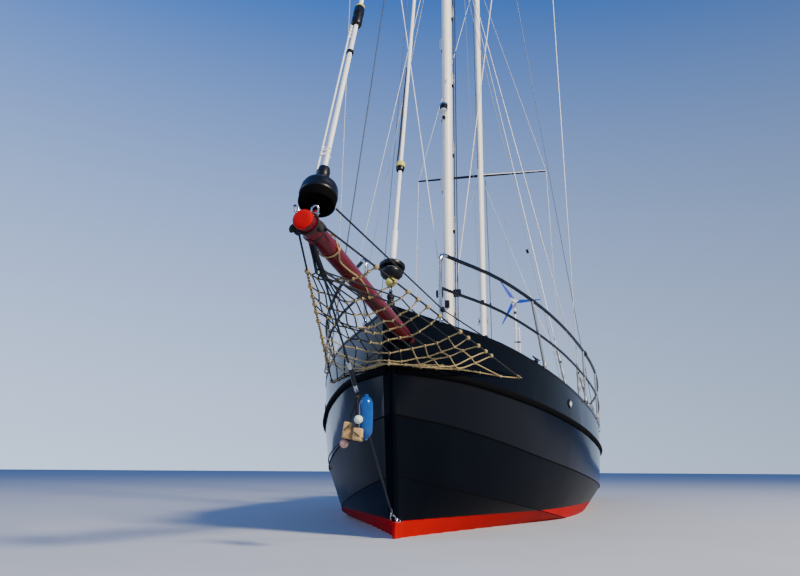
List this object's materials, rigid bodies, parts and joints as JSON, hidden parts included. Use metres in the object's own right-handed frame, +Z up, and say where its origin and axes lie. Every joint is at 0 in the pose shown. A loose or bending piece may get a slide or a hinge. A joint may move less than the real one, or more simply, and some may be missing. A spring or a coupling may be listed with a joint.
{
  "type": "steel ketch with bowsprit",
  "caption": "Steel sailing ketch: multi-chine hull with long keel, doghouse, aft cockpit with wheel, bowsprit with rope net, furlers, guard rails and a wind generator.",
  "frame": {"origin": "on the centreline at the waterline amidships", "axes": "+X to port, +Y towards the stern, +Z up; the bow points to -Y"},
  "size_m": [3.5836, 12.6448, 15.4661],
  "materials": {
    "topsides": "glossy very dark blue marine paint on steel plate",
    "antifouling": "matt red underwater paint on steel",
    "sprit_paint": "glossy maroon red paint on a steel tube",
    "deck_paint": "satin off-white deck paint on steel",
    "pole_paint": "gloss white paint on tube and castings",
    "spar_paint": "cream-white paint on aluminium spars, satin gloss",
    "foil_alloy": "white coated aluminium foil and drum",
    "stainless": "polished stainless steel, weathered",
    "bronze": "cast bronze, dulled",
    "rope": "tan laid rope, weathered",
    "teak": "bare teak, greyed",
    "window_glass": "dark tinted toughened glass",
    "blade_shell": "moulded blue blades, gloss",
    "float_shell": "moulded floats, gloss"
  },
  "bodies": {
    "hull": {"hull_bow": "topsides", "hull_cabin": "topsides", "hull_cockpit": "topsides", "hull_stern": "topsides", "keel": "antifouling", "bulwark_bow_port": "topsides", "bulwark_bow_starboard": "topsides", "bulwark_side_port": "topsides", "bulwark_side_starboard": "topsides", "bulwark_quarter_port": "topsides", "bulwark_quarter_starboard": "topsides", "bulwark_stern": "topsides", "coachroof": "deck_paint", "doghouse": "deck_paint", "doghouse_glass_port": "window_glass", "doghouse_glass_starboard": "window_glass", "doghouse_glass_front": "window_glass", "companion_steps": "teak", "cockpit_coaming": "deck_paint", "steering_pedestal": "deck_paint", "main_mast": "spar_paint", "mizzen_mast": "spar_paint", "main_cap_shroud_port": "stainless", "main_cap_shroud_starboard": "stainless", "main_fore_lower_port": "stainless", "main_fore_lower_starboard": "stainless", "main_aft_lower_port": "stainless", "main_aft_lower_starboard": "stainless", "main_backstay_port": "stainless", "main_backstay_starboard": "stainless", "mizzen_cap_shroud_port": "stainless", "mizzen_cap_shroud_starboard": "stainless", "bowsprit": "sprit_paint", "bobstay": "stainless", "bow_net": "rope", "bow_floats": "float_shell", "guard_rail_bow_port": "stainless", "guard_rail_bow_starboard": "stainless", "guard_rail_side_port": "stainless", "guard_rail_side_starboard": "stainless", "guard_rail_quarter_port": "stainless", "guard_rail_quarter_starboard": "stainless", "wind_pole": "pole_paint"},
    "rudder": {"rudder": "antifouling"},
    "propeller": {"propeller": "bronze"},
    "steering_wheel": {"steering_wheel": "stainless"},
    "main_boom": {"main_boom": "spar_paint"},
    "mizzen_boom": {"mizzen_boom": "spar_paint"},
    "jib_furler": {"jib_furler": "foil_alloy"},
    "staysail_furler": {"staysail_furler": "foil_alloy"},
    "wind_head": {"wind_head": "pole_paint"},
    "wind_rotor": {"wind_rotor": "blade_shell"},
    "fore_hatch_lid": {"fore_hatch_lid": "deck_paint"},
    "main_hatch_lid": {"main_hatch_lid": "deck_paint"},
    "companion_hatch": {"companion_hatch": "deck_paint"},
    "companion_door": {"companion_door": "teak"},
    "locker_lid_port": {"locker_lid_port": "teak"},
    "locker_lid_starboard": {"locker_lid_starboard": "teak"}
  },
  "joints": [
    {"name": "rudder_turn", "type": "hinge", "parent": "hull", "child": "rudder", "pos_m": [0, 3.7, -0.9], "axis": [0, 0, 1], "range_deg": [-35, 35]},
    {"name": "wheel_turn", "type": "hinge", "parent": "hull", "child": "steering_wheel", "pos_m": [0, 3.29, 1.15], "axis": [0, -1, 0], "range_deg": [-420, 420]},
    {"name": "propeller_spin", "type": "hinge", "parent": "hull", "child": "propeller", "pos_m": [0, 3.3, -0.9], "axis": [0, 1, 0], "continuous": true},
    {"name": "main_boom_swing", "type": "hinge", "parent": "hull", "child": "main_boom", "pos_m": [0, -2.29582, 2.08], "axis": [0, 0, 1], "range_deg": [-60, 60]},
    {"name": "mizzen_boom_swing", "type": "hinge", "parent": "hull", "child": "mizzen_boom", "pos_m": [0, 1.54878, 2.33], "axis": [0, 0, 1], "range_deg": [-55, 55]},
    {"name": "jib_furl", "type": "hinge", "parent": "hull", "child": "jib_furler", "pos_m": [-0.012, -7.15, 1.866], "axis": [0.0009, 0.3874, 0.9219], "continuous": true},
    {"name": "staysail_furl", "type": "hinge", "parent": "hull", "child": "staysail_furler", "pos_m": [0, -5.392, 1.905], "axis": [0, 0.2707, 0.9627], "continuous": true},
    {"name": "wind_yaw", "type": "hinge", "parent": "hull", "child": "wind_head", "pos_m": [0.333, 4.888, 3.96], "axis": [0, 0, 1], "continuous": true},
    {"name": "wind_spin", "type": "hinge", "parent": "wind_head", "child": "wind_rotor", "pos_m": [0.333, 4.758, 4.098], "axis": [0, 1, 0], "continuous": true},
    {"name": "fore_hatch_open", "type": "hinge", "parent": "hull", "child": "fore_hatch_lid", "pos_m": [0, -3.05, 1.44], "axis": [1, 0, 0], "range_deg": [0, 100]},
    {"name": "main_hatch_open", "type": "hinge", "parent": "hull", "child": "main_hatch_lid", "pos_m": [0, -1.77, 1.468], "axis": [1, 0, 0], "range_deg": [0, 100]},
    {"name": "companion_slide", "type": "slide", "parent": "hull", "child": "companion_hatch", "axis": [0, -1, 0], "range_m": [0, 0.6]},
    {"name": "companion_door_open", "type": "hinge", "parent": "hull", "child": "companion_door", "pos_m": [-0.734, 1.058, 1.45], "axis": [0, 0, 1], "range_deg": [0, 110]},
    {"name": "locker_lid_port_open", "type": "hinge", "parent": "hull", "child": "locker_lid_port", "pos_m": [0.78, 2.5, 0.765], "axis": [0, 1, 0], "range_deg": [0, 85]},
    {"name": "locker_lid_starboard_open", "type": "hinge", "parent": "hull", "child": "locker_lid_starboard", "pos_m": [-0.78, 2.5, 0.765], "axis": [0, -1, 0], "range_deg": [0, 85]}
  ],
  "couplings": [
    {"joint": "wheel_turn", "follows": "rudder_turn", "ratio": 12}
  ]
}
